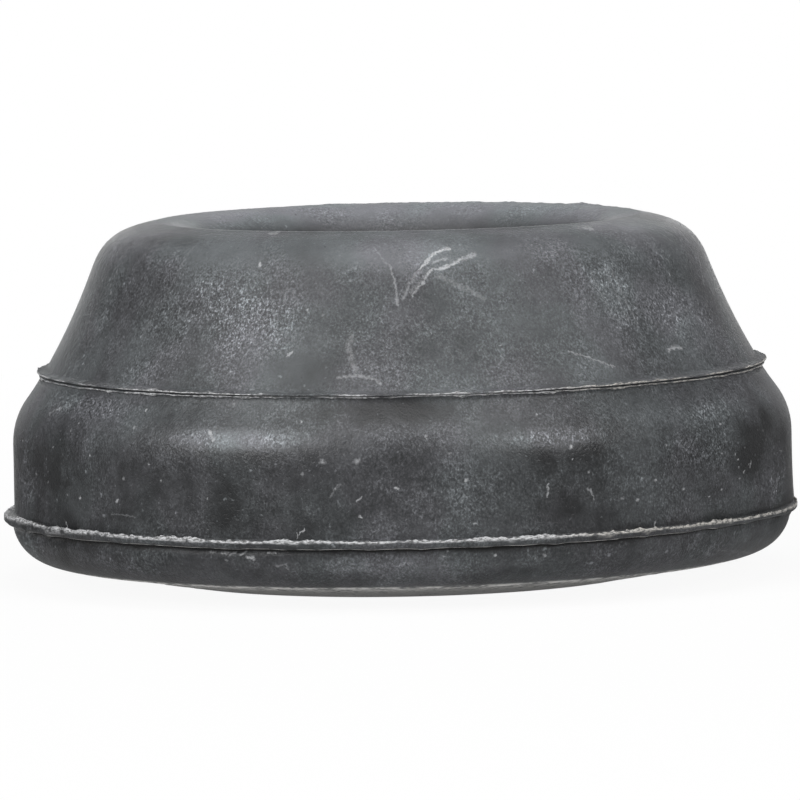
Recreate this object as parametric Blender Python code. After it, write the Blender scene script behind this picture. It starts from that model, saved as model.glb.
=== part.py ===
"""Trailing arm bushing: a rubber cushion moulded in one piece.

The section is drawn once, in the plane of radius and height, as straight lines with
rounded corners, and is then turned about +Z. From the underside outwards and up it has a
flat pad, a shallow cone, a round heel, an upright band, a shoulder that leans in, a
conical nose and a crest that rolls over into the bore, which runs right through.
The mould's plates met at two heights, and each joint left a ring of flash.

Metres, +Z up. The origin is the middle of the underside, on the turning axis.
"""

from math import atan2, ceil, cos, pi, radians, sin, tan

import bmesh
import bpy
from mathutils import Vector

MM = 0.001

# Bore and the flat pad round it
BORE_RADIUS = 16.5 * MM          # at the underside, where the core is narrowest
BORE_DRAFT = radians(2.0)        # the core's taper: the bore widens upwards
BORE_EDGE_FILLET = 1.2 * MM      # lower end of the bore
MOUTH_FILLET = 6.0 * MM          # upper end, where the crest rolls into the bore
PAD_WIDTH = 7.1 * MM             # flat ring that the part stands on
PAD_EDGE_FILLET = 4.0 * MM

# Underside cone and heel
UNDERSIDE_SLOPE = radians(10.0)
HEEL_FILLET = 4.1 * MM
LOWER_PARTING_HEIGHT = 6.4 * MM

# Band and the shoulder above it
BAND_RADIUS = 38.0 * MM
BAND_HEIGHT = 9.5 * MM           # from the lower parting to the shoulder's corner
BAND_FILLET = 7.0 * MM
SHOULDER_RISE = 4.0 * MM         # from the band's corner to the upper parting
SHOULDER_INSET = 3.2 * MM

# Nose and crest
NOSE_RISE = 13.8 * MM            # from the upper parting to the nose's corner
NOSE_LEAN = radians(24.7)        # away from the vertical
NOSE_FILLET = 6.9 * MM
CREST_RISE = 1.1 * MM            # from the nose's corner to the crest

# Flash left where the mould's plates met
LOWER_FLASH_REACH = 1.0 * MM
LOWER_FLASH_THICKNESS = 0.9 * MM
UPPER_FLASH_REACH = 0.8 * MM
UPPER_FLASH_THICKNESS = 0.6 * MM
FLASH_GROOVE_DEPTH = 0.3 * MM    # the upper ring is split by a fine groove

# Fineness of the mesh
TURN_STEPS = 88
ARC_STEP = radians(15.0)
SAME_PLACE = 0.001 * MM          # points closer than this are one point


def room(place, neighbour, neighbour_fillet):
    """How much of the line to a neighbouring corner a fillet may take up."""
    length = (neighbour - place).length
    return length / 2 if neighbour_fillet else length


def fillet_arc(place, before, after, cut):
    """Points of the arc that touches a corner's two lines at a distance cut from it."""
    to_before = (before - place).normalized()
    to_after = (after - place).normalized()
    half_angle = to_before.angle(to_after) / 2
    centre = place + (to_before + to_after).normalized() * cut / cos(half_angle)
    first = place + to_before * cut - centre
    turn = pi - 2 * half_angle
    side = 1 if to_before.cross(to_after) < 0 else -1
    steps = max(1, ceil(turn / ARC_STEP))
    start = atan2(first.y, first.x)
    angles = [start + side * turn * step / steps for step in range(steps + 1)]
    return [centre + first.length * Vector((cos(angle), sin(angle))) for angle in angles]


def rounded_outline(corners):
    """Closed outline through corners of (radius, height, fillet), a fillet of 0 being sharp.

    A fillet that is too large for the lines beside it shrinks to the room that they have.
    """
    outline = []
    for index, (radius, height, fillet) in enumerate(corners):
        place = Vector((radius, height))
        *before, before_fillet = corners[index - 1]
        *after, after_fillet = corners[(index + 1) % len(corners)]
        before, after = Vector(before), Vector(after)
        half_angle = (before - place).angle(after - place) / 2
        cut = min(
            fillet / tan(half_angle),
            room(place, before, before_fillet),
            room(place, after, after_fillet),
        )
        for point in fillet_arc(place, before, after, cut) if fillet else [place]:
            if not outline or (point - outline[-1]).length > SAME_PLACE:
                outline.append(point)
    return outline


def bead_of_flash(radius, height):
    """Corners of the lower ring, a bead with a full round edge."""
    half = LOWER_FLASH_THICKNESS / 2
    tip = radius + LOWER_FLASH_REACH
    return [
        (radius, height - half, 0),
        (tip, height - half, half),
        (tip, height + half, half),
        (radius, height + half, 0),
    ]


def split_flash(radius, height, lean_below, lean_above):
    """Corners of the upper ring, two lips with a fine groove between them.

    Its roots lie on the shoulder below and on the nose above, which lean differently.
    """
    half = UPPER_FLASH_THICKNESS / 2
    lip = half / 2
    tip = radius + UPPER_FLASH_REACH
    return [
        (radius + half * tan(lean_below), height - half, 0),
        (tip, height - half, 0),
        (tip, height - half + lip, 0),
        (tip - FLASH_GROOVE_DEPTH, height, 0),
        (tip, height + half - lip, 0),
        (tip, height + half, 0),
        (radius - half * tan(lean_above), height + half, 0),
    ]


def section():
    """The moulding's section, from the bore's lower end round the outside and back."""
    pad_radius = BORE_RADIUS + PAD_WIDTH
    heel_height = (BAND_RADIUS - pad_radius) * tan(UNDERSIDE_SLOPE)
    band_top = LOWER_PARTING_HEIGHT + BAND_HEIGHT
    parting_radius = BAND_RADIUS - SHOULDER_INSET
    parting_height = band_top + SHOULDER_RISE
    nose_radius = parting_radius - NOSE_RISE * tan(NOSE_LEAN)
    nose_height = parting_height + NOSE_RISE
    crest_height = nose_height + CREST_RISE
    mouth_radius = BORE_RADIUS + crest_height * tan(BORE_DRAFT)
    crest_radius = mouth_radius + MOUTH_FILLET * tan(pi / 4 - BORE_DRAFT / 2)
    shoulder_lean = atan2(SHOULDER_INSET, SHOULDER_RISE)

    corners = [
        (BORE_RADIUS, 0, BORE_EDGE_FILLET),
        (pad_radius, 0, PAD_EDGE_FILLET),
        (BAND_RADIUS, heel_height, HEEL_FILLET),
    ]
    corners += bead_of_flash(BAND_RADIUS, LOWER_PARTING_HEIGHT)
    corners.append((BAND_RADIUS, band_top, BAND_FILLET))
    corners += split_flash(parting_radius, parting_height, shoulder_lean, NOSE_LEAN)
    corners += [
        (nose_radius, nose_height, NOSE_FILLET),
        (crest_radius, crest_height, 0),
        (mouth_radius, crest_height, MOUTH_FILLET),
    ]
    return rounded_outline(corners)


def turned(name, outline):
    """A closed solid made by turning a closed outline about +Z."""
    shape = bmesh.new()
    points = [shape.verts.new((place.x, 0, place.y)) for place in outline]
    edges = [shape.edges.new((points[index - 1], point)) for index, point in enumerate(points)]
    bmesh.ops.spin(
        shape,
        geom=points + edges,
        cent=(0, 0, 0),
        axis=(0, 0, 1),
        angle=2 * pi,
        steps=TURN_STEPS,
        use_merge=True,
    )
    bmesh.ops.recalc_face_normals(shape, faces=shape.faces)
    mesh = bpy.data.meshes.new(name)
    shape.to_mesh(mesh)
    shape.free()
    return mesh


def rubber():
    """Black rubber with a dull, slightly dusty skin."""
    material = bpy.data.materials.new("black_rubber")
    material.use_nodes = True
    shader = material.node_tree.nodes["Principled BSDF"]
    shader.inputs["Base Color"].default_value = (0.10, 0.105, 0.11, 1)
    shader.inputs["Roughness"].default_value = 0.7
    shader.inputs["Metallic"].default_value = 0
    return material


def rubber_bushing():
    """The whole moulding, flash and all, as one solid."""
    mesh = turned("rubber_bushing", section())
    mesh.materials.append(rubber())
    mesh.shade_smooth()
    mesh.set_sharp_from_angle(angle=radians(30))
    bushing = bpy.data.objects.new("rubber_bushing", mesh)
    bpy.context.collection.objects.link(bushing)
    return bushing


def main():
    for old in list(bpy.data.objects):
        bpy.data.objects.remove(old)
    rubber_bushing()


main()
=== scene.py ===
"""Looks of the trailing arm bushing: the moulding's torn flash, its dusty rubber skin and the studio.

Metres, +Z up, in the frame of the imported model. The camera stands on the -Y side.
Azimuths are measured from -Y, the near side, and grow towards +X, the right.
"""

from math import atan2, ceil, cos, exp, hypot, pi, radians, sin, sqrt, tan

import bpy
import numpy as np
from mathutils import Matrix, Vector, noise


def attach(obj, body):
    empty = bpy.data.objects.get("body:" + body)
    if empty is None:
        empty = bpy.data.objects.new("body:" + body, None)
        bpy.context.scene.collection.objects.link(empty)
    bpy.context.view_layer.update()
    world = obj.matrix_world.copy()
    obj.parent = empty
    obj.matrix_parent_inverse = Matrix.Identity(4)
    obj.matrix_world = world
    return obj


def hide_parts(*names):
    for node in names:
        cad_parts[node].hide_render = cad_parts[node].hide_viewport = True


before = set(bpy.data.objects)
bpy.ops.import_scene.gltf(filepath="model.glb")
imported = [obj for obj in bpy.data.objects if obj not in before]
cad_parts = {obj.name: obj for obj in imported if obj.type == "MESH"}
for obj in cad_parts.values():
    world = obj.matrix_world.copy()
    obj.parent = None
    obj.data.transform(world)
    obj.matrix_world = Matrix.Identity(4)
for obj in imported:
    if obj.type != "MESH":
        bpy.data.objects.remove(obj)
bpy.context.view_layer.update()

MM = 0.001
TURN = 2 * pi

# The moulding's section, with the sizes of the part's own source
BORE_RADIUS = 16.5 * MM
BORE_DRAFT = radians(2.0)
BORE_EDGE_FILLET = 1.2 * MM
MOUTH_FILLET = 6.0 * MM
PAD_WIDTH = 7.1 * MM
PAD_EDGE_FILLET = 4.0 * MM
UNDERSIDE_SLOPE = radians(10.0)
HEEL_FILLET = 4.1 * MM
LOWER_PARTING_HEIGHT = 6.4 * MM
BAND_RADIUS = 38.0 * MM
BAND_HEIGHT = 9.5 * MM
BAND_FILLET = 7.0 * MM
SHOULDER_RISE = 4.0 * MM
SHOULDER_INSET = 3.2 * MM
NOSE_RISE = 13.8 * MM
NOSE_LEAN = radians(24.7)
NOSE_FILLET = 6.9 * MM
CREST_RISE = 1.1 * MM

# What follows from them
PAD_RADIUS = BORE_RADIUS + PAD_WIDTH
PAD_START = BORE_RADIUS + BORE_EDGE_FILLET * 1.2
HEEL_HEIGHT = (BAND_RADIUS - PAD_RADIUS) * tan(UNDERSIDE_SLOPE)
HEEL_START_RADIUS = BAND_RADIUS - HEEL_FILLET
HEEL_START_HEIGHT = (HEEL_START_RADIUS - PAD_RADIUS) * tan(UNDERSIDE_SLOPE)
BAND_TOP = LOWER_PARTING_HEIGHT + BAND_HEIGHT
PARTING_RADIUS = BAND_RADIUS - SHOULDER_INSET
UPPER_PARTING_HEIGHT = BAND_TOP + SHOULDER_RISE
SHOULDER_LEAN = atan2(SHOULDER_INSET, SHOULDER_RISE)
NOSE_RADIUS = PARTING_RADIUS - NOSE_RISE * tan(NOSE_LEAN)
NOSE_HEIGHT = UPPER_PARTING_HEIGHT + NOSE_RISE
CREST_HEIGHT = NOSE_HEIGHT + CREST_RISE
MOUTH_RADIUS = BORE_RADIUS + CREST_HEIGHT * tan(BORE_DRAFT)
CREST_RADIUS = MOUTH_RADIUS + MOUTH_FILLET * tan(pi / 4 - BORE_DRAFT / 2)

# Small faults of form, as the outline in the photograph shows them
NOSE_WAIST = 0.47                    # the nose's flank is hollow, deepest at this share of its rise
NOSE_HOLLOW = 0.13 * MM              # how far it sinks in there
NOSE_CURL = 1.9 * MM                 # and how it spreads from there, times the distance's square
NOSE_CURL_END = 0.94                 # up to this share
NOSE_SHIFT = 0.06 * MM               # the nose sits a little to the right
HEEL_SHIFT = -0.20 * MM              # the heel a little to the left
BAND_FLARE = 0.18 * MM               # the band spreads above the lower flash, on the right
SHOULDER_SWELL = 0.30 * MM           # the shoulder is full under the upper flash
LOWER_FLASH_LIFT = 0.14 * MM         # the lower flash stands a little high in front
LOWER_FLASH_DROOP = 0.42 * MM        # and curls down at the two sides
UPPER_FLASH_LIFT = 0.22 * MM
UPPER_FLASH_SHIFT = 0.12 * MM        # and the upper flash a little to the right
CREST_SAG = 0.05 * MM                # the crest is a little low
UNEVENNESS = 0.04 * MM               # the skin of old rubber isn't quite round
UNEVENNESS_SIZE = 7 * MM             # how far across its swells are
UNDERSIDE_ROUGHNESS = 0.13 * MM
UNDERSIDE_LUMPS = (1.1 * MM, 0.45 * MM)  # its larger and its smaller lumps
UNDERSIDE_EDGE = 2 * MM              # it starts smoothly beside the pad

# Fineness of the skin: points round a ring, and the spacing of the rings
BODY_STEPS = 320
UNDERSIDE_STEPS = 640
FLASH_STEPS = 1600
ARC_STEP = radians(6.0)
ROW_SPACING = 1.25 * MM
UNDERSIDE_ROW_SPACING = 0.65 * MM
FLASH_ROOM = 0.5 * MM                # between a parting and the plain skin beside it
WIDE_FLASH_ROOM = 1.0 * MM           # the same under the lower flash and over the upper one
CREST_ROOM = 0.25 * MM               # between the crest's line and the plain skin beside it
SAME_PLACE = 0.001 * MM              # points closer than this are one point

# Camera, as fitted to the outline in the photograph
PHOTO_SIZE = 800                     # pixels
BAND_PIXELS = 389.0                  # the band's radius in the photograph
PIXEL = BAND_RADIUS / BAND_PIXELS    # one pixel at the object's own distance
CAMERA_DISTANCE = 8105 * PIXEL
CAMERA_ELEVATION = radians(4.667)
CAMERA_ROLL = radians(1.058)
CENTRE = Vector((0, 0, 175.0 * PIXEL))
CENTRE_ON_PHOTO = (401.5, 397.4)

# Light of the room, which the camera sees white. Its edges are x or y of a direction of length 1.
ROOM_LIGHT = 0.28                    # before the object, on the camera's side
SIDE_LIGHTS = (0.09, 0.15)           # beside and beyond it, at the left and at the right
SIDE_LIGHTS_MEET = (-0.3, 0.3)       # the left turns into the right between these x
SIDE_LIGHTS_START = (0.1, 0.5)       # and the front into the sides between these y
BACKDROP_LIGHT = 1.0                 # straight beyond the object
BACKDROP_EDGE = (0.86, 0.99)         # which begins between these y

# Table. Its reflections have edges in the distance from the middle line, less the spread times y.
TABLE_HALF = 4.0
TABLE_GAP = 0.02 * MM                # keeps its face apart from the pad's
TABLE_WHITE = 0.9
TABLE_GLOW = (0.93, 1.0)             # how far it glows to the camera, round the object and far off
TABLE_GLOW_EDGE = (50 * MM, 260 * MM)
TABLE_REFLECTIONS = (0.28, 0.06, 1.0)  # how bright the object mirrors it: before, beside and beyond
REFLECTION_MIDDLE = (-20 * MM, 20 * MM)  # between these y the part before the object ends
REFLECTION_BEYOND = (43 * MM, 26 * MM)
REFLECTION_BESIDE = (70 * MM, 115 * MM)
REFLECTION_SPREAD = 0.3

# Soft boxes: name, azimuth, elevation, size, power
SOFTBOXES = (
    ("left_softbox", radians(-51), radians(34), 0.55, 4.5),
    ("right_softbox", radians(44), radians(35), 0.50, 3.0),
    ("top_softbox", 0.0, radians(80), 0.8, 4.0),
)

# Colours, as a grey and how blue it is
BARE_RUBBER = (0.014, 0.06)
# near black: painted shade in the creases and grooves of the flashes, and the rubber's dark pits
CREASE_SHADE_AND_PITS = (0.004, 0.0)
CHALK = (0.58, 0.03)
TORN_SHADE = (0.12, 0.0)
TORN_PALE = (0.60, 0.02)
TORN_PALE_RIGHT = (0.52, -0.07)
UNDERSIDE_SHADE = (0.12, 0.0)
# partly dust, partly painted light from the white table under the part
UNDERSIDE_DUST_AND_TABLE_LIGHT = (0.85, -0.03)
BLOOM_TINTS = ((0.438, 0.450, 0.488, 1), (0.424, 0.463, 0.487, 1))  # bluer and greener dust

# Marks are drawn on the skin unrolled at this radius: azimuth times radius across, and height
UNROLLED_RADIUS = 34.0 * MM
SEARCH_STEPS = 12                    # to find where the ray of a pixel meets the skin
MARK_CORE = 0.1                      # a mark is full up to this share of its width from its middle
MARK_END = 0.75                      # and gone at this one

# Chalky rubs, as lines through pixels of the photograph: name, points, width in pixels, strength
RUBS = (
    ("fork_upper_foot", ((419, 269), (426, 262), (432, 255)), 2.2, 0.75),
    ("fork_upper_head", ((431, 256), (437, 251), (443, 249), (449, 249)), 3.4, 0.95),
    ("fork_lower_foot", ((413, 295), (422, 284), (427, 277), (430, 271)), 2.6, 0.50),
    ("fork_lower_bend", ((428, 273), (433, 269), (440, 268)), 2.6, 0.65),
    ("fork_lower_arm", ((440, 268), (449, 266), (456, 262), (462, 258)), 2.8, 0.75),
    ("fork_lower_tip", ((460, 260), (467, 257), (474, 254)), 4.2, 0.45),
    ("fork_loop", ((432, 263), (437, 260), (446, 259)), 2.4, 0.40),
    ("fork_haze", ((403, 299), (409, 284), (420, 270)), 4.0, 0.20),
    ("fork_inner_haze", ((412, 292), (428, 274)), 6.0, 0.16),
    ("fork_shade", ((438, 276), (452, 282), (470, 290), (485, 299)), 6.0, 0.16),
    ("scratch_top", ((375, 249), (381, 256), (386, 263), (391, 268)), 2.0, 0.16),
    ("scratch_foot", ((391, 268), (394, 278), (396, 290), (398, 305)), 2.4, 0.30),
    ("smear", ((351, 337), (348, 347), (355, 369)), 6.0, 0.22),
    ("arc", ((338, 378), (348, 376), (361, 376), (374, 379), (382, 384)), 3.2, 0.28),
    ("short_tick", ((287, 356), (292, 352)), 2.0, 0.60),
    ("fan_first", ((603, 266), (630, 322)), 2.0, 0.12),
    ("fan_second", ((612, 272), (638, 324)), 2.4, 0.16),
    ("fan_third", ((590, 272), (615, 318)), 2.0, 0.10),
    ("crease_edge", ((568, 351), (581, 355), (598, 361), (614, 367)), 2.0, 0.34),
    ("left_stroke", ((163, 300), (185, 262), (196, 247)), 3.0, 0.07),
    ("left_stroke_low", ((140, 338), (158, 302)), 3.5, 0.06),
    ("right_stroke_low", ((697, 315), (702, 323)), 2.4, 0.25),
    ("far_right_stroke", ((712, 268), (722, 296), (733, 330)), 3.0, 0.07),
    ("crest_wrinkle_left", ((195, 229), (208, 226), (222, 231)), 2.0, 0.16),
    ("crest_speck_left", ((269, 233), (278, 233)), 2.0, 0.45),
    ("crest_speck_right", ((585, 229), (590, 228)), 2.2, 0.70),
    ("crest_wrinkle_right", ((575, 228), (600, 222), (630, 218)), 2.4, 0.14),
    ("shoulder_brush", ((50, 414), (55, 410), (61, 409)), 3.0, 0.22),
    ("heel_scratch", ((708, 555), (711, 548)), 2.4, 0.14),
    ("heel_scratch_low", ((704, 559), (716, 550)), 2.0, 0.10),
    ("crease_fleck_first", ((210, 552), (214, 552)), 2.2, 0.55),
    ("crease_fleck_second", ((222, 553), (227, 553)), 2.6, 0.55),
    ("crease_fleck_third", ((230, 555), (235, 552)), 2.0, 0.45),
    ("crease_fleck_fourth", ((240, 555), (245, 552)), 2.4, 0.60),
    ("crease_fleck_fifth", ((248, 557), (254, 558)), 3.0, 0.75),
    ("crease_fleck_sixth", ((267, 553), (275, 553)), 2.2, 0.50),
    ("heel_curl", ((278, 566), (286, 564), (288, 569)), 1.8, 0.22),
    ("band_scribble", ((330, 497), (334, 489), (340, 484)), 2.2, 0.16),
    ("right_dab", ((668, 350), (674, 347), (681, 348)), 3.2, 0.55),
    ("right_stroke", ((699, 262), (704, 284)), 2.6, 0.22),
    ("band_hair", ((587, 488), (591, 491), (595, 500)), 1.4, 0.35),
    ("band_tick", ((357, 501), (362, 497)), 1.8, 0.50),
    ("band_comma", ((209, 431), (213, 440)), 2.4, 0.65),
    ("band_line", ((111, 514), (135, 517)), 1.4, 0.16),
    ("band_drip", ((548, 484), (547, 498)), 2.0, 0.50),
    ("side_drip", ((751, 461), (750, 468)), 2.0, 0.45),
    ("thread_stem", ((299, 535), (305, 528)), 1.4, 0.70),
    ("thread_foot", ((297, 533), (297, 538)), 1.2, 0.50),
    ("thread_right", ((655, 527), (656, 521)), 1.2, 0.60),
    ("thread_left", ((66, 523), (68, 529)), 1.4, 0.60),
)

# Single pale crumbs of dust: column and row in the photograph, width in pixels
CRUMB_STRENGTHS = (0.25, 0.75)
GOLDEN_SHARE = 0.618                 # spreads the crumbs' strengths without a pattern
CRUMBS = (
    (102, 280, 2.6), (110, 293, 2.8), (117, 271, 3.2), (261, 265, 4.0), (307, 311, 3.0), (323, 314, 2.6),
    (149, 464, 2.2), (124, 479, 3.0), (117, 501, 3.4), (161, 481, 2.0), (135, 427, 2.8), (147, 410, 2.4),
    (20, 479, 2.2), (302, 474, 2.8), (322, 462, 5.0), (357, 461, 5.5), (397, 488, 3.0), (207, 499, 2.0),
    (235, 404, 3.2), (301, 422, 2.4), (335, 489, 3.4), (360, 517, 2.2), (467, 480, 3.4), (450, 453, 2.4),
    (738, 460, 2.6), (749, 464, 2.0), (739, 467, 2.6), (744, 471, 2.2), (740, 478, 3.0), (735, 455, 1.8),
    (722, 453, 2.4), (721, 490, 2.6), (709, 496, 2.0), (771, 479, 2.4), (758, 430, 2.2), (763, 431, 2.0),
    (746, 411, 2.2), (720, 424, 2.2), (704, 415, 2.0), (766, 439, 2.0), (781, 451, 2.2), (745, 447, 1.8),
    (23, 441, 2.4), (53, 447, 2.2), (48, 472, 2.0), (48, 482, 2.2), (25, 484, 2.4), (67, 495, 2.4),
    (71, 430, 2.2), (79, 423, 2.6), (90, 456, 2.2), (36, 474, 2.6), (29, 501, 2.8), (80, 498, 2.6),
    (475, 524, 2.8), (571, 447, 3.8), (572, 459, 2.2), (589, 472, 3.0), (656, 480, 3.0), (684, 489, 3.2),
    (622, 498, 3.6), (637, 500, 2.8), (666, 445, 2.2), (722, 490, 2.4), (744, 471, 2.6), (687, 310, 2.4),
    (669, 274, 2.6), (676, 332, 2.2), (226, 560, 3.0), (448, 551, 2.4), (444, 556, 2.4),
    (495, 556, 3.0), (545, 556, 2.6), (98, 386, 3.0), (536, 414, 2.6), (426, 436, 2.6), (500, 345, 2.0),
)

# Broad patches of the skin: column, row, half width, half height, gain of dust (painted highlight and
# painted shade in a few), gain of its grain
PATCHES = (
    ("left_dust", 268, 330, 62, 70, 0.04, 0.1),
    ("left_grain", 240, 312, 90, 60, 0.02, 0.8),
    ("dark_triangle", 305, 368, 54, 34, -0.035, -0.5),
    ("fork_triangle", 432, 302, 30, 26, -0.06, -0.4),
    ("top_dust", 405, 256, 110, 20, 0.12, -0.4),
    ("crest_right", 612, 226, 58, 12, 0.10, 0.0),
    ("crest_left", 214, 229, 24, 6, 0.04, 0.0),
    ("crest_middle", 330, 240, 34, 9, 0.05, 0.0),
    ("crest_left_dark", 190, 240, 60, 10, -0.05, 0.0),
    ("nose_top_right", 560, 250, 60, 14, 0.04, 0.2),
    ("crease_dust", 596, 370, 32, 18, 0.09, -0.2),
    ("fan_dust", 610, 292, 42, 44, 0.08, 0.5),
    ("right_dust", 676, 315, 40, 45, 0.09, 0.5),
    ("band_right_dust", 620, 480, 90, 30, 0.01, 0.5),
    ("side_dust", 700, 450, 40, 30, 0.03, 0.8),
    ("left_clean", 150, 290, 60, 50, -0.04, 0.3),
    ("middle_clean", 470, 345, 80, 45, -0.03, -0.2),
    # the next two are dust and painted highlight, where the soft boxes shine on the band's shoulder
    ("shoulder_dust_and_painted_highlight", 245, 440, 88, 13, 0.33, 0.1),
    ("right_shoulder_dust_and_painted_highlight", 540, 438, 84, 12, 0.14, 0.9),
    ("shoulder_left_dust", 100, 408, 60, 16, 0.05, 1.1),
    ("shoulder_right_dust", 690, 412, 70, 18, 0.06, 0.4),
    # painted shade on the shoulder, between the two painted highlights
    ("shoulder_middle_painted_shade", 400, 411, 110, 20, -0.17, 0.1),
    # darker at the band's right side
    ("side_dark", 748, 455, 20, 42, -0.12, 0.3),
    ("side_dark_high", 766, 418, 8, 16, -0.10, 0.0),
    ("band_clean", 90, 470, 75, 45, -0.05, 0.0),
    ("heel_left_clean", 100, 545, 80, 25, 0.0, 0.6),
    ("heel_right_clean", 690, 545, 70, 20, -0.02, 0.5),
    ("band_edge_left", 34, 470, 17, 50, 0.03, 1.6),
    ("band_edge_right", 774, 470, 16, 50, 0.01, 0.7),
    ("heel_edge_left", 44, 545, 20, 16, 0.03, 1.4),
    ("heel_middle_dust", 390, 566, 150, 14, 0.07, 0.0),
    ("heel_dust", 350, 566, 40, 10, 0.05, 0.0),
    ("heel_right_dust", 530, 562, 40, 9, 0.04, 0.0),
)


def room(place, neighbour, neighbour_fillet):
    """How much of the line to a neighbouring corner a fillet may take up."""
    length = (neighbour - place).length
    return length / 2 if neighbour_fillet else length


def fillet_arc(place, before, after, cut):
    """Points of the arc that touches a corner's two lines at a distance cut from it."""
    to_before = (before - place).normalized()
    to_after = (after - place).normalized()
    half_angle = to_before.angle(to_after) / 2
    centre = place + (to_before + to_after).normalized() * cut / cos(half_angle)
    first = place + to_before * cut - centre
    turn = pi - 2 * half_angle
    side = 1 if to_before.cross(to_after) < 0 else -1
    steps = max(1, ceil(turn / ARC_STEP))
    start = atan2(first.y, first.x)
    angles = [start + side * turn * step / steps for step in range(steps + 1)]
    return [centre + first.length * Vector((cos(angle), sin(angle))) for angle in angles]


def rounded_line(corners, spacing=ROW_SPACING):
    """An open outline through corners of (radius, height, fillet), its straight runs cut into rows."""
    outline = []
    last = len(corners) - 1
    for index, (radius, height, fillet) in enumerate(corners):
        place = Vector((radius, height))
        points = [place]
        if fillet and 0 < index < last:
            *before, before_fillet = corners[index - 1]
            *after, after_fillet = corners[index + 1]
            before, after = Vector(before), Vector(after)
            half_angle = (before - place).angle(after - place) / 2
            cut = min(
                fillet / tan(half_angle),
                room(place, before, before_fillet),
                room(place, after, after_fillet),
            )
            points = fillet_arc(place, before, after, cut)
        for point in points:
            if outline:
                gap = point - outline[-1]
                if gap.length < SAME_PLACE:
                    continue
                start = outline[-1]
                rows = max(1, ceil(gap.length / spacing))
                outline += [start + gap * row / rows for row in range(1, rows)]
            outline.append(point)
    return outline


def ring_angles(steps):
    """Azimuths of a ring's points, once round from the far side."""
    return -pi + TURN * np.arange(steps) / steps


def ring(radius, height, steps, shift=0.0):
    """Points of one ring, where the radius and the height are numbers or arrays of one value a point."""
    azimuth = ring_angles(steps)
    ones = np.ones(steps)
    return np.column_stack((shift + radius * np.sin(azimuth), -radius * np.cos(azimuth), height * ones))


def waves(azimuth, counts, seed):
    """A smooth periodic wobble from -1 to 1: one cosine for each count of waves, with random phases."""
    phases = np.random.default_rng(seed).uniform(0, TURN, len(counts))
    total = sum(np.cos(count * azimuth + phase) for count, phase in zip(counts, phases))
    return total / len(counts)


def ragged(azimuth, knots, seed):
    """Random values from 0 to 1 at evenly spaced knots round the axis, joined by straight lines."""
    values = np.random.default_rng(seed).random(knots)
    place = (azimuth + pi) / TURN * knots
    return np.interp(place, np.arange(knots + 1), np.append(values, values[0]))


def near(azimuth, centre, width):
    """A soft bump of height 1 round one azimuth, in degrees."""
    away = (azimuth - radians(centre) + pi) % TURN - pi
    return np.exp(-((away / radians(width)) ** 2))


def plain_rings(corners, steps=BODY_STEPS, shift=0.0, spacing=ROW_SPACING):
    """Rings of plain skin along an outline, with nothing torn."""
    return [(ring(point.x, point.y, steps, shift), 0.0) for point in rounded_line(corners, spacing)]


def underside_rings():
    """The pad that the part stands on and the cone round it, as far as the heel."""
    corners = [
        (PAD_START, 0, 0),
        (PAD_RADIUS, 0, PAD_EDGE_FILLET),
        (HEEL_START_RADIUS, HEEL_START_HEIGHT, 0),
    ]
    return plain_rings(corners, UNDERSIDE_STEPS, spacing=UNDERSIDE_ROW_SPACING)


def heel_rings():
    """The round heel, as far as the room that the lower flash needs."""
    corners = [
        (HEEL_START_RADIUS, HEEL_START_HEIGHT, 0),
        (BAND_RADIUS, HEEL_HEIGHT, HEEL_FILLET),
        (BAND_RADIUS, LOWER_PARTING_HEIGHT, 0),
    ]
    top = LOWER_PARTING_HEIGHT - WIDE_FLASH_ROOM
    below_flash = [point for point in rounded_line(corners)[1:] if point.y < top]
    return [(ring(point.x, point.y, BODY_STEPS, HEEL_SHIFT), 0.0) for point in below_flash]


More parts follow.
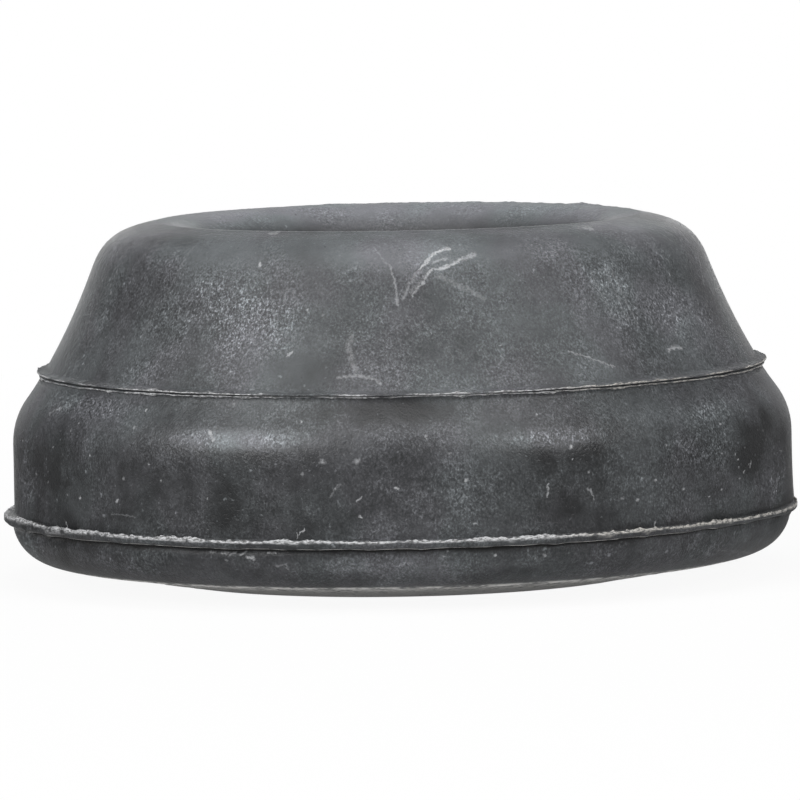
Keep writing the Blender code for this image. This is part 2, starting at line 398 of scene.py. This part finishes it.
def lower_flash_rings():
    """The lower flash: a bead over a crease darkened with painted shade, with a pale torn edge along its
    outside.
    """
    azimuth = ring_angles(FLASH_STEPS)
    left, right = near(azimuth, -90, 24), near(azimuth, 90, 24)
    reach = (0.95 + 0.10 * waves(azimuth, [3, 5, 8, 13], 11) + 0.12 * left - 0.50 * right) * MM
    coarse = ragged(azimuth, 240, 12) * ragged(azimuth, 61, 13)
    fine = ragged(azimuth, 960, 14)
    tear = (0.05 + 0.34 * coarse + 0.18 * fine ** 2) * MM
    lump = 0.12 * MM * ragged(azimuth, 150, 16) ** 2
    jitter = 0.12 * MM * (ragged(azimuth, 960, 15) - 0.5)
    whole = 0.58 + 0.42 * np.clip(3.0 * ragged(azimuth, 480, 17) - 0.2, 0, 1)
    streak = ragged(azimuth, 170, 18) ** 2
    # how far the painted shade of the crease spreads downwards, round the ring
    smear = ragged(azimuth, 70, 19) ** 2
    centre = LOWER_PARTING_HEIGHT + LOWER_FLASH_LIFT - LOWER_FLASH_DROOP * (left + right)
    thin = (1 - 0.40 * left - 0.45 * near(azimuth, 70, 30)) * MM
    root = BAND_RADIUS
    # marks below 0 in these stations are painted shade in the crease under the bead
    stations = (
        (-0.10, -0.84, -0.1 - 0.7 * smear),
        (-0.22, -0.64, -0.8),
        (0.02, -0.50, -1.0),
        (0.45, -0.48, -0.4),
        (0.74, -0.40, 0.25 * streak),
        (0.92, -0.23, 0.5 * streak),
        (0.99, -0.05, 0.1 + 0.5 * streak),
    )
    rings = [
        (ring(root + share * reach, centre + lift * thin - lump, FLASH_STEPS), torn)
        for share, lift, torn in stations
    ]
    edge = centre + 0.08 * thin + 0.38 * near(azimuth, -76, 17) * MM
    rings += [
        (ring(root + 1.00 * reach, edge, FLASH_STEPS), 0.6 * whole),
        (ring(root + 0.94 * reach + jitter, edge + 0.08 * thin + 0.7 * tear, FLASH_STEPS), whole),
        (ring(root + 0.82 * reach + jitter, edge + 0.10 * thin + tear, FLASH_STEPS), whole),
        (ring(root + 0.66 * reach - jitter, edge + 0.08 * thin + 0.8 * tear, FLASH_STEPS), whole),
        (ring(root + 0.44 * reach, edge + 0.10 * thin, FLASH_STEPS), 0.4),
        # marks below 0 on these two rings are painted shade on the band just above the bead
        (ring(root + 0.12 * reach, edge + 0.18 * thin, FLASH_STEPS), -0.4),
        (ring(root, LOWER_PARTING_HEIGHT + 0.45 * MM, FLASH_STEPS), -0.3),
    ]
    return rings


def shoulder_swell(height):
    """How far the shoulder stands out from its cone at one height, or at an array of them."""
    climb = np.clip((height - BAND_TOP - 1.5 * MM) / (SHOULDER_RISE - 1.5 * MM), 0, 1)
    return SHOULDER_SWELL * climb ** 2


def band_rings():
    """The upright band and the shoulder above it."""
    azimuth = ring_angles(BODY_STEPS)
    corners = [
        (BAND_RADIUS, LOWER_PARTING_HEIGHT + FLASH_ROOM, 0),
        (BAND_RADIUS, BAND_TOP, BAND_FILLET),
        (PARTING_RADIUS + FLASH_ROOM * tan(SHOULDER_LEAN), UPPER_PARTING_HEIGHT - FLASH_ROOM, 0),
    ]
    rings = []
    for point in rounded_line(corners):
        rise = (point.y - LOWER_PARTING_HEIGHT) / (2.0 * MM)
        flare = BAND_FLARE * exp(-rise) * near(azimuth, 90, 35)
        rings.append((ring(point.x + flare + shoulder_swell(point.y), point.y, BODY_STEPS), 0.0))
    return rings


def upper_flash_rings():
    """The upper flash: two thin torn lips with a groove between them, darkened with painted shade."""
    azimuth = ring_angles(FLASH_STEPS)
    side = np.sin(azimuth)
    centre = UPPER_PARTING_HEIGHT + UPPER_FLASH_LIFT + (0.10 * side ** 2 + 0.06 * side.clip(0)) * MM
    reach = (0.82 + 0.08 * waves(azimuth, [3, 4, 7, 11], 21)) * MM
    low = (0.03 + 0.24 * ragged(azimuth, 200, 22) ** 4 + 0.08 * ragged(azimuth, 960, 24) ** 2) * MM
    high = (0.02 + 0.20 * ragged(azimuth, 210, 23) ** 4 + 0.08 * ragged(azimuth, 960, 25) ** 2) * MM
    sway = 0.08 * MM * (ragged(azimuth, 120, 28) - 0.5)
    broken = 0.60 + 0.40 * ragged(azimuth, 640, 29)
    pale_low = np.clip(1.6 * ragged(azimuth, 110, 27) + 0.50, 0, 1) * broken
    ends = near(azimuth, 74, 9) + near(azimuth, -88, 9) + 0.5 * near(azimuth, -35, 9)
    pale_high = np.clip(2.2 * ragged(azimuth, 90, 26) - 0.2 + ends, 0, 1) * broken
    half_gap = (0.085 + 0.17 * side ** 2 - 0.07 * side ** 4) * MM
    below = centre - 0.32 * MM
    above = centre + 0.50 * MM
    root = PARTING_RADIUS + (UPPER_PARTING_HEIGHT - below) * tan(SHOULDER_LEAN) + shoulder_swell(below)
    nose_root = PARTING_RADIUS - (above - UPPER_PARTING_HEIGHT) * tan(NOSE_LEAN) + nose_spread(above)
    lip_low, lip_high = centre - half_gap + sway, centre + half_gap + 0.5 * sway
    tip_high = PARTING_RADIUS + reach
    tip_low = tip_high - 0.20 * MM
    lips = (
        (tip_low - 0.18 * MM, lip_low - 0.04 * MM - low * 0.5, 0.2),
        (tip_low - 0.04 * MM, lip_low - low, pale_low),
        (tip_low, lip_low + 0.04 * MM, pale_low),
        (tip_low - 0.10 * MM, lip_low + 0.07 * MM, 0.0),
        # mark below 0: painted shade in the groove between the lips, darker at the sides
        (tip_low - 0.32 * MM, centre, -0.1 - 0.5 * side ** 2),
        (tip_high - 0.16 * MM, lip_high - 0.07 * MM, 0.0),
        (tip_high, lip_high - 0.03 * MM, pale_high),
        (tip_high - 0.04 * MM, lip_high + high, pale_high),
        (tip_high - 0.20 * MM, lip_high + 0.04 * MM + high * 0.5, 0.2 * pale_high),
    )
    # mark below 0: painted shade in the crease under the flash
    rings = [(ring(root, below, FLASH_STEPS), -0.2)]
    for radius, height, torn in lips:
        rings.append((ring(radius, height, FLASH_STEPS, UPPER_FLASH_SHIFT), torn))
    rings.append((ring(nose_root, above, FLASH_STEPS, NOSE_SHIFT), 0.0))
    return rings


def nose_spread(height):
    """How far the nose's flank stands out from its cone at one height, or at an array of them."""
    climb = np.minimum(NOSE_CURL_END, (height - UPPER_PARTING_HEIGHT) / NOSE_RISE)
    return NOSE_CURL * (climb - NOSE_WAIST) ** 2 - NOSE_HOLLOW


def nose_rings():
    """The conical nose, a little hollow in its flank, up to the crest."""
    corners = [
        (PARTING_RADIUS - WIDE_FLASH_ROOM * tan(NOSE_LEAN), UPPER_PARTING_HEIGHT + WIDE_FLASH_ROOM, 0),
        (NOSE_RADIUS, NOSE_HEIGHT, NOSE_FILLET),
        (CREST_RADIUS + CREST_ROOM, CREST_HEIGHT, 0),
    ]
    rings = []
    for point in rounded_line(corners):
        over = max(0.0, (point.y - NOSE_HEIGHT) / CREST_RISE)
        spread = nose_spread(point.y) * (1 - over)
        rings.append((ring(point.x + spread, point.y - CREST_SAG * over, BODY_STEPS, NOSE_SHIFT), 0.0))
    return rings


def crest_rings():
    """The fine line that the bore's core left along the crest, ragged on the far side."""
    azimuth = ring_angles(FLASH_STEPS)
    far = np.minimum(1, 1.6 * near(azimuth, 155, 35))
    lip = near(azimuth, 0, 75)
    fine = 0.03 * ragged(azimuth, 400, 31)
    torn = 0.06 * ragged(azimuth, 500, 33) + 0.22 * ragged(azimuth, 120, 32) ** 3
    height = CREST_HEIGHT - CREST_SAG + (0.02 + fine + far * torn + 0.05 * lip) * MM
    # pale torn line all round; the extra paleness on the near side is a painted highlight along the lip
    return [(ring(CREST_RADIUS, height, FLASH_STEPS, NOSE_SHIFT), 0.5 + 0.1 * lip)]


def bore_rings():
    """The mouth that rolls over from the crest, the bore and its lower edge."""
    wall_end = (BORE_RADIUS + BORE_EDGE_FILLET * tan(BORE_DRAFT), BORE_EDGE_FILLET, 0)
    mouth_and_wall = [
        (CREST_RADIUS - CREST_ROOM, CREST_HEIGHT - CREST_SAG, 0),
        (MOUTH_RADIUS, CREST_HEIGHT - CREST_SAG, MOUTH_FILLET),
        wall_end,
    ]
    lower_edge = [
        wall_end,
        (BORE_RADIUS, 0, BORE_EDGE_FILLET),
        (PAD_START, 0, 0),
    ]
    return plain_rings(mouth_and_wall) + plain_rings(lower_edge)[1:-1]


def faces_between(first_start, first_count, second_start, second_count):
    """Faces that join two rings. One ring may have several times as many points as the other."""
    if first_count == second_count:
        step = np.arange(first_count)
        after = (step + 1) % first_count
        return [
            (first_start + a, first_start + b, second_start + b, second_start + a)
            for a, b in zip(step, after)
        ]
    flipped = first_count > second_count
    coarse, coarse_count = (second_start, second_count) if flipped else (first_start, first_count)
    fine, fine_count = (first_start, first_count) if flipped else (second_start, second_count)
    ratio = fine_count // coarse_count
    faces = []
    for index in range(coarse_count):
        here, after = coarse + index, coarse + (index + 1) % coarse_count
        middle = ratio // 2
        for part in range(ratio):
            left = fine + (index * ratio + part) % fine_count
            right = fine + (index * ratio + part + 1) % fine_count
            if part == middle:
                faces.append((here, after, left))
            corner = here if part < middle else after
            faces.append((corner, right, left))
    return [face[::-1] for face in faces] if flipped else faces


def roughened(points):
    """The skin's points with the slight unevenness of old rubber, and a rough face under the part."""
    large, small = UNDERSIDE_LUMPS
    for index, point in enumerate(points):
        place = Vector(point)
        radius = hypot(point[0], point[1])
        swell = UNEVENNESS * noise.noise(place / UNEVENNESS_SIZE)
        points[index][:2] *= 1 + swell / radius
        on_cone = PAD_RADIUS < radius < HEEL_START_RADIUS and point[2] < HEEL_HEIGHT
        if on_cone:
            inwards = min(1.0, (radius - PAD_RADIUS) / UNDERSIDE_EDGE)
            lump = 0.5 + 0.5 * noise.noise(place / large) + 0.35 * noise.noise(place / small)
            points[index][2] += inwards * UNDERSIDE_ROUGHNESS * lump
    return points


def skin():
    """The whole moulding's skin as one closed mesh, torn edges marked 1 and creases -1, the mark of
    painted shade.
    """
    rings = underside_rings() + heel_rings() + lower_flash_rings() + band_rings()
    rings += upper_flash_rings() + nose_rings() + crest_rings() + bore_rings()
    starts = np.cumsum([0] + [len(points) for points, _ in rings])
    faces = []
    for index, (points, _) in enumerate(rings):
        following = (index + 1) % len(rings)
        faces += faces_between(starts[index], len(points), starts[following], len(rings[following][0]))
    mesh = bpy.data.meshes.new("rubber_skin")
    mesh.from_pydata(roughened(np.vstack([points for points, _ in rings])), [], faces)
    torn = mesh.attributes.new("torn", "FLOAT", "POINT")
    torn.data.foreach_set("value", np.concatenate([np.full(len(points), mark) for points, mark in rings]))
    mesh.shade_smooth()
    mesh.validate()
    piece = bpy.data.objects.new("rubber_skin", mesh)
    bpy.context.scene.collection.objects.link(piece)
    print("skin:", len(rings), "rings,", sum(len(face) - 2 for face in faces), "triangles")
    return piece


def camera_axes():
    """The camera's right, up and backward directions and its place."""
    back = Vector((0, -cos(CAMERA_ELEVATION), sin(CAMERA_ELEVATION)))
    right = Vector((1, 0, 0))
    up = back.cross(right)
    roll = Matrix.Rotation(-CAMERA_ROLL, 3, back)
    right, up = roll @ right, roll @ up
    off_x = (CENTRE_ON_PHOTO[0] - PHOTO_SIZE / 2) * PIXEL
    off_y = (PHOTO_SIZE / 2 - CENTRE_ON_PHOTO[1]) * PIXEL
    place = CENTRE + back * CAMERA_DISTANCE - right * off_x - up * off_y
    return right, up, back, place


def skin_radius(height):
    """The radius of the plain skin at one height, from the heel to the nose."""
    corners = [
        (PAD_RADIUS, 0, 0),
        (BAND_RADIUS, HEEL_HEIGHT, HEEL_FILLET),
        (BAND_RADIUS, BAND_TOP, BAND_FILLET),
        (PARTING_RADIUS, UPPER_PARTING_HEIGHT, 0),
        (NOSE_RADIUS, NOSE_HEIGHT, NOSE_FILLET),
        (CREST_RADIUS, CREST_HEIGHT, 0),
    ]
    outline = rounded_line(corners)
    return float(np.interp(height, [point.y for point in outline], [point.x for point in outline]))


def on_skin(column, row):
    """Where a pixel of the photograph lies on the near side, in millimetres on the unrolled skin."""
    right, up, back, eye = camera_axes()
    across = (column - PHOTO_SIZE / 2) * PIXEL / CAMERA_DISTANCE
    down = (row - PHOTO_SIZE / 2) * PIXEL / CAMERA_DISTANCE
    ray = right * across - up * down - back
    point = eye + ray * CAMERA_DISTANCE
    for _ in range(SEARCH_STEPS):
        radius = skin_radius(point.z)
        reach = sqrt(max(radius ** 2 - point.x ** 2, 0))
        point = eye + ray * ((-reach - eye.y) / ray.y)
    azimuth = atan2(point.x, -point.y)
    return azimuth * UNROLLED_RADIUS / MM, point.z / MM


class Graph:
    """Short forms for building a node tree. An input is a number, a tuple or an output to link."""

    def __init__(self, tree):
        self.tree = tree
        tree.nodes.clear()

    def add(self, kind, inputs=None, **settings):
        """A new node, with its inputs by name or number."""
        node = self.tree.nodes.new("ShaderNode" + kind)
        for name, value in settings.items():
            setattr(node, name, value)
        for key, value in (inputs or {}).items():
            if isinstance(value, bpy.types.NodeSocket):
                self.tree.links.new(value, node.inputs[key])
            else:
                node.inputs[key].default_value = value
        return node

    def math(self, operation, *values):
        """One step of arithmetic with numbers."""
        return self.add("Math", dict(enumerate(values)), operation=operation).outputs[0]

    def total(self, *values):
        """The sum of two or more numbers."""
        result = values[0]
        for value in values[1:]:
            result = self.math("ADD", result, value)
        return result

    def vector(self, operation, *values):
        """One step of arithmetic with vectors."""
        node = self.add("VectorMath", dict(enumerate(values)), operation=operation)
        return node.outputs["Value" if operation in ("LENGTH", "DISTANCE", "DOT_PRODUCT") else "Vector"]

    def scaled(self, vector, factors):
        """A vector times a number or times three numbers, one an axis."""
        factors = factors if isinstance(factors, tuple) else (factors,) * 3
        return self.vector("MULTIPLY", vector, factors)

    def ramp(self, value, low, high, at_low=0.0, at_high=1.0):
        """A smooth step between two values, flat outside them."""
        inputs = {0: value, 1: low, 2: high, 3: at_low, 4: at_high}
        return self.add("MapRange", inputs, interpolation_type="SMOOTHSTEP", clamp=False).outputs[0]

    def noise(self, place, size, detail=1.0, roughness=0.5, distortion=0.0):
        """Noise round 0.5 whose largest lumps are about size across."""
        inputs = {
            "Vector": place,
            "Scale": 1 / size,
            "Detail": detail,
            "Roughness": roughness,
            "Distortion": distortion,
        }
        return self.add("TexNoise", inputs).outputs[0]

    def centred_noise(self, place, size, detail=1.0, roughness=0.5, distortion=0.0):
        """The same noise, moved to lie round 0."""
        return self.math("SUBTRACT", self.noise(place, size, detail, roughness, distortion), 0.5)

    def blend(self, factor, first, second):
        """A number between two others."""
        return self.add("Mix", {0: factor, 2: first, 3: second}).outputs[0]

    def blend_colours(self, factor, first, second):
        """A colour between two others."""
        return self.add("Mix", {0: factor, 6: first, 7: second}, data_type="RGBA").outputs[2]


def grey(value, blue=0.0):
    """A grey that is a little blue, or a little warm where blue is negative."""
    return (value * (1 - blue / 2), value, value * (1 + blue), 1)


def mark_strength(graph, away, width, strength):
    """How strongly a mark of one width shows at a distance from its middle."""
    return graph.ramp(away, MARK_CORE * width, MARK_END * width, strength, 0.0)


def rub(graph, unrolled, start, end, width, strength):
    """A straight stroke with round ends between two points of the unrolled skin."""
    along = Vector((end[0] - start[0], end[1] - start[1], 0))
    from_start = graph.vector("SUBTRACT", unrolled, (*start, 0))
    share = graph.vector("DOT_PRODUCT", from_start, tuple(along / along.length_squared))
    share = graph.math("MINIMUM", graph.math("MAXIMUM", share, 0.0), 1.0)
    nearest = graph.add("VectorMath", {0: tuple(along), "Scale": share}, operation="SCALE").outputs[0]
    return mark_strength(graph, graph.vector("DISTANCE", from_start, nearest), width, strength)


def chalk(graph, unrolled):
    """All the rubs and crumbs, from 0 to 1. Each meets the strongest of those before it at once."""
    pixel = PIXEL / MM
    faint, strong = CRUMB_STRENGTHS
    marks = 0.0
    for _, points, width, strength in RUBS:
        places = [on_skin(*point) for point in points]
        for start, end in zip(places, places[1:]):
            stroke = rub(graph, unrolled, start, end, width * pixel, strength)
            marks = graph.math("MAXIMUM", marks, stroke)
    for index, (column, row, width) in enumerate(CRUMBS):
        strength = faint + (strong - faint) * (index * GOLDEN_SHARE % 1)
        away = graph.vector("DISTANCE", unrolled, (*on_skin(column, row), 0))
        marks = graph.math("MAXIMUM", marks, mark_strength(graph, away, width * pixel, strength))
    return marks


def patches(graph, unrolled):
    """The broad patches' gains of dust, with painted highlight and shade in a few, and of grain, each
    added up.
    """
    dust, grain = 0.0, 0.0
    for _, column, row, half_width, half_height, dust_and_light_gain, grain_gain in PATCHES:
        left, _ = on_skin(column - half_width, row)
        right, _ = on_skin(column + half_width, row)
        _, top = on_skin(column, row - half_height)
        _, bottom = on_skin(column, row + half_height)
        scale = (2 / (right - left), 2 / (top - bottom), 0)
        offset = (-(right + left) / (right - left), -(top + bottom) / (top - bottom), 0)
        local = graph.vector("MULTIPLY_ADD", unrolled, scale, offset)
        share = graph.ramp(graph.vector("LENGTH", local), 0.2, 1.15, 1.0, 0.0)
        dust = graph.math("MULTIPLY_ADD", share, dust_and_light_gain, dust)
        grain = graph.math("MULTIPLY_ADD", share, grain_gain, grain)
    return dust, grain


def specks(graph, place, spacing, size, share):
    """Small random crumbs: the cells of a Voronoi texture that are near their own point, and lucky."""
    cells = graph.add("TexVoronoi", {"Vector": place, "Scale": 1 / spacing})
    lucky = graph.add("SeparateColor", {0: cells.outputs["Color"]}).outputs[0]
    chosen = graph.math("LESS_THAN", lucky, share)
    spot = graph.ramp(cells.outputs["Distance"], 0.4 * size / spacing, size / spacing, 1.0, 0.0)
    return graph.math("MULTIPLY", spot, chosen)


class RubberLooks(Graph):
    """The rubber's node tree, in millimetres: dust with some painted highlight and shade, speckle, crumbs,
    chalk, torn edges with painted crease shade, and underside.
    """

    def __init__(self, tree):
        """The places, the grain and the patches that the looks go by."""
        super().__init__(tree)
        self.place = self.scaled(self.add("TexCoord").outputs["Object"], 1 / MM)
        self.x, self.y, self.height = self.add("SeparateXYZ", {0: self.place}).outputs
        azimuth = self.math("ARCTAN2", self.x, self.math("MULTIPLY", self.y, -1.0))
        across = self.math("MULTIPLY", azimuth, UNROLLED_RADIUS / MM)
        self.unrolled = self.add("CombineXYZ", {0: across, 1: self.height}).outputs[0]
        wobble = self.add("TexNoise", {"Vector": self.place, "Scale": 2.2, "Detail": 2.0}).outputs["Color"]
        wobble = self.scaled(self.vector("SUBTRACT", wobble, (0.5, 0.5, 0.5)), 0.6)
        self.shaken = self.vector("ADD", self.place, wobble)
        self.shaken_unrolled = self.vector("ADD", self.unrolled, self.scaled(wobble, (1, 1, 0)))
        facing = self.add("SeparateXYZ", {0: self.add("NewGeometry").outputs["Normal"]}).outputs[2]
        # the torn mark: pale torn edges above 0, painted shade in creases and grooves below 0
        self.torn = self.add("Attribute", attribute_name="torn").outputs["Fac"]
        self.underside = self.ramp(facing, -0.90, -0.97)

        self.grain = self.centred_noise(self.scaled(self.place, (1, 1, 0.75)), 0.19, 1.5, 0.7)
        self.worm = self.centred_noise(self.place, 0.46, 2.0, 0.6, 1.2)
        self.mottle = self.centred_noise(self.place, 2.6, 2.0, 0.6)
        self.cloud = self.centred_noise(self.place, 11.0, 1.0)

        self.patch_dust, self.patch_grain = patches(self, self.unrolled)
        self.from_axis = self.vector("LENGTH", self.scaled(self.place, (1, 1, 0)))
        self.outside = self.ramp(self.from_axis, CREST_RADIUS / MM - 0.5, CREST_RADIUS / MM)

    def bloom_and_painted_light(self):
        """How much pale dust lies on each area: more towards the crest, and a rim of it in the mouth with
        painted shade deeper down it. Some patches add painted highlight and painted shade.
        """
        above_band = self.ramp(self.height, BAND_TOP / MM - 2, UPPER_PARTING_HEIGHT / MM, 0.0, 0.08)
        near_crest = self.ramp(self.height, NOSE_HEIGHT / MM - 4, CREST_HEIGHT / MM, 0.0, 0.08)
        over_crest = self.math("SUBTRACT", self.from_axis, self.ramp(self.y, -5, 5, 0.3, 2.0))
        inside = self.ramp(over_crest, CREST_RADIUS / MM, CREST_RADIUS / MM - 1)
        # pale dust at the rim of the mouth, painted shade deeper down its wall
        mouth_dust_and_shade = self.ramp(self.height, CREST_HEIGHT / MM - 3.2, CREST_HEIGHT / MM + 0.4, -0.20, 0.33)
        bloom_and_painted_light = self.total(
            0.10,
            above_band,
            near_crest,
            self.math("MULTIPLY", inside, mouth_dust_and_shade),
            self.math("MULTIPLY", self.patch_dust, self.outside),
            self.math("MULTIPLY", self.cloud, 0.25),
            self.math("MULTIPLY", self.mottle, 0.20),
        )
        return self.math("MAXIMUM", bloom_and_painted_light, 0.015)

    def speckle(self):
        """The contrast that the grain gives to the dust, stronger in some places than in others."""
        patchy = self.ramp(self.noise(self.place, 5.0, 1.0), 0.35, 0.65, 0.55, 1.25)
        smooth_crest = self.ramp(self.height, NOSE_HEIGHT / MM - 3, NOSE_HEIGHT / MM, 0.0, -0.5)
        strength = self.math("MAXIMUM", self.total(patchy, self.patch_grain, smooth_crest), 0.15)
        speckle = self.total(self.math("MULTIPLY", self.grain, 3.0), self.math("MULTIPLY", self.worm, 2.4))
        contrast = self.math("EXPONENT", self.math("MULTIPLY", speckle, strength))
        return self.math("MULTIPLY", contrast, 0.95)

    def paleness(self):
        """How pale the skin is with dust and small crumbs, and with some painted highlight and shade."""
        # dust, with the painted highlight and shade that the patches and the mouth add
        dust = self.math("MULTIPLY", self.bloom_and_painted_light(), self.speckle())
        small = self.math("MULTIPLY", specks(self, self.shaken, 0.8, 0.14, 0.50), 0.15)
        large = self.math("MULTIPLY", specks(self, self.shaken, 2.4, 0.22, 0.5), 0.30)
        return self.total(dust, small, large)

    def skin_colour(self, pale):
        """Black rubber under its dust and chalk, and darkest in pits and in creases, where the darkness is
        painted shade.
        """
        broken = self.ramp(self.total(self.grain, self.worm), -0.22, 0.12)
        marks = self.math("MULTIPLY", chalk(self, self.shaken_unrolled), self.blend(broken, 0.5, 1.0))
        marks = self.math("MULTIPLY", marks, self.outside)
        tint = self.ramp(self.noise(self.place, 7.0, 1.0), 0.4, 0.6)
        colour = self.blend_colours(pale, grey(*BARE_RUBBER), self.blend_colours(tint, *BLOOM_TINTS))
        colour = self.blend_colours(marks, colour, grey(*CHALK))
        pits = self.math("MULTIPLY", specks(self, self.scaled(self.shaken, -1), 1.0, 0.14, 0.4), 0.45)
        # torn marks below 0 give painted shade in creases and grooves; pits are dark specks of the rubber
        crease_shade_and_pits = self.math("MAXIMUM", self.ramp(self.torn, -0.1, -0.9), pits)
        return self.blend_colours(crease_shade_and_pits, colour, grey(*CREASE_SHADE_AND_PITS))

    def torn_colour(self):
        """Pale fibres along the torn edges, warmer at the right."""
        fibre = self.noise(self.scaled(self.unrolled, (0.4, 1, 1)), 0.16, 2.0, 0.7)
        fibre_share = self.ramp(fibre, 0.36, 0.60)
        warm = self.ramp(self.x, 12, 20)
        pale = self.blend_colours(warm, grey(*TORN_PALE), grey(*TORN_PALE_RIGHT))
        return self.blend_colours(fibre_share, grey(*TORN_SHADE), pale)

    def underside_colour(self):
        """Pale lumps on dark, closer together towards the pad: partly dust on the rough face, partly
        painted light from the white table below.
        """
        # paler towards the pad: painted light from the white table
        pad_painted_light = self.ramp(self.from_axis, 25, 34, 0.16, 0.02)
        lumps = self.total(self.noise(self.place, 1.3, 2.0, 0.8), pad_painted_light)
        lump_share = self.ramp(lumps, 0.38, 0.60)
        return self.blend_colours(lump_share, grey(*UNDERSIDE_SHADE), grey(*UNDERSIDE_DUST_AND_TABLE_LIGHT))

    def colour(self, pale):
        """The skin's colour, with those of the underside and of the torn edges where they belong."""
        skin_colour, torn_colour = self.skin_colour(pale), self.torn_colour()
        colour = self.blend_colours(self.underside, skin_colour, self.underside_colour())
        return self.blend_colours(self.ramp(self.torn, 0.35, 0.85), colour, torn_colour)

    def relief(self):
        """The grain's relief, as a bent normal."""
        relief = self.total(
            self.math("MULTIPLY", self.grain, 0.035),
            self.math("MULTIPLY", self.worm, 0.050),
            self.math("MULTIPLY", self.mottle, 0.070),
        )
        return self.add("Bump", {"Height": relief, "Distance": MM, "Strength": 1.0}).outputs[0]

    def roughness(self, pale):
        """Duller under dust, and on the nose, above the upper flash."""
        parting = UPPER_PARTING_HEIGHT / MM
        bare = self.ramp(self.height, parting - 0.5, parting, 0.31, 0.46)
        return self.math("MULTIPLY_ADD", pale, 0.6, bare)

    def nap(self):
        """The nose alone has the faint sheen of fine dust."""
        parting = UPPER_PARTING_HEIGHT / MM
        return self.ramp(self.height, parting - 1, parting, 0.0, 0.85)


def rubber_material():
    """Black rubber, aged and dusty."""
    material = bpy.data.materials.new("black_rubber")
    material.use_nodes = True
    looks = RubberLooks(material.node_tree)
    pale = looks.paleness()
    shader = looks.add(
        "BsdfPrincipled",
        {
            "Base Color": looks.colour(pale),
            "Normal": looks.relief(),
            "Roughness": looks.roughness(pale),
            "Sheen Weight": looks.nap(),
            "Sheen Roughness": 0.20,
        },
    )
    output = looks.add("OutputMaterial", {"Surface": shader.outputs[0]})
    output.is_active_output = True
    return material


def studio_room():
    """A room that the camera sees white. It is dim round the object, with a bright backdrop beyond it."""
    scene = bpy.context.scene
    scene.world = scene.world or bpy.data.worlds.new("room")
    scene.world.use_nodes = True
    graph = Graph(scene.world.node_tree)
    x, y, _ = graph.add("SeparateXYZ", {0: graph.add("TexCoord").outputs["Generated"]}).outputs
    side = graph.ramp(x, *SIDE_LIGHTS_MEET, *SIDE_LIGHTS)
    light = graph.ramp(y, *SIDE_LIGHTS_START, ROOM_LIGHT, side)
    light = graph.blend(graph.ramp(y, *BACKDROP_EDGE), light, BACKDROP_LIGHT)
    seen = graph.add("LightPath").outputs["Is Camera Ray"]
    strength = graph.blend(seen, light, 1.0)
    background = graph.add("Background", {"Color": (1, 1, 1, 1), "Strength": strength})
    graph.add("OutputWorld", {0: background.outputs[0]})


def white_table():
    """A white floor that is lit round the object, where it holds the shadow, and glows white far off."""
    half = TABLE_HALF
    mesh = bpy.data.meshes.new("table")
    corners = [(-half, -half, 0), (half, -half, 0), (half, half, 0), (-half, half, 0)]
    mesh.from_pydata(corners, [], [(0, 1, 2, 3)])
    mesh.materials.append(table_material())
    table = bpy.data.objects.new("table", mesh)
    table.location.z = -TABLE_GAP
    bpy.context.scene.collection.objects.link(table)


def table_material():
    """White for the camera and for other light, and of several greys in the object's reflections."""
    material = bpy.data.materials.new("white_table")
    material.use_nodes = True
    graph = Graph(material.node_tree)
    place = graph.add("TexCoord").outputs["Object"]
    glow_share = graph.ramp(graph.vector("LENGTH", place), *TABLE_GLOW_EDGE, *TABLE_GLOW)
    path = graph.add("LightPath")
    seen = graph.math("MULTIPLY", path.outputs["Is Camera Ray"], glow_share)
    reflected = path.outputs["Is Glossy Ray"]
    share = graph.math("MAXIMUM", seen, reflected)
    diffuse = graph.add("BsdfDiffuse", {"Color": (TABLE_WHITE, TABLE_WHITE, TABLE_WHITE, 1)})
    x, y, _ = graph.add("SeparateXYZ", {0: place}).outputs
    before, beside, beyond = TABLE_REFLECTIONS
    aside = graph.math("MULTIPLY_ADD", y, -REFLECTION_SPREAD, graph.math("ABSOLUTE", x))
    mirrored = graph.ramp(aside, *REFLECTION_BESIDE, beside, before)
    mirrored = graph.blend(graph.ramp(aside, *REFLECTION_BEYOND), mirrored, beyond)
    mirrored = graph.blend(graph.ramp(y, *REFLECTION_MIDDLE), before, mirrored)
    glow = graph.add("Emission", {"Strength": graph.blend(reflected, 1.0, mirrored)})
    mix = graph.add("MixShader", {0: share, 1: diffuse.outputs[0], 2: glow.outputs[0]})
    graph.add("OutputMaterial", {0: mix.outputs[0]})
    return material


def softboxes():
    """Two soft boxes in front and a wider one above, all a metre from the object."""
    for name, azimuth, elevation, size, power in SOFTBOXES:
        lamp = bpy.data.lights.new(name, "AREA")
        lamp.size = size
        lamp.energy = power
        holder = bpy.data.objects.new(name, lamp)
        towards = Vector((sin(azimuth) * cos(elevation), -cos(azimuth) * cos(elevation), sin(elevation)))
        holder.location = CENTRE + towards
        holder.rotation_euler = towards.to_track_quat("Z", "Y").to_euler()
        bpy.context.scene.collection.objects.link(holder)


def photo_camera():
    """The photograph's camera: a long lens, a little above the horizon and a little rolled."""
    lens = bpy.data.cameras.new("photo_camera")
    lens.sensor_width = 36
    lens.lens = lens.sensor_width * CAMERA_DISTANCE / PIXEL / PHOTO_SIZE
    lens.clip_start = 0.01
    camera = bpy.data.objects.new("photo_camera", lens)
    right, up, back, place = camera_axes()
    camera.matrix_world = Matrix.Translation(place) @ Matrix((right, up, back)).transposed().to_4x4()
    bpy.context.scene.collection.objects.link(camera)
    bpy.context.scene.camera = camera
    bpy.context.scene.view_settings.view_transform = "Standard"


photo_camera()
studio_room()
white_table()
softboxes()
bushing = skin()
bushing.data.materials.append(rubber_material())
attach(bushing, "root")
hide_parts("rubber_bushing")
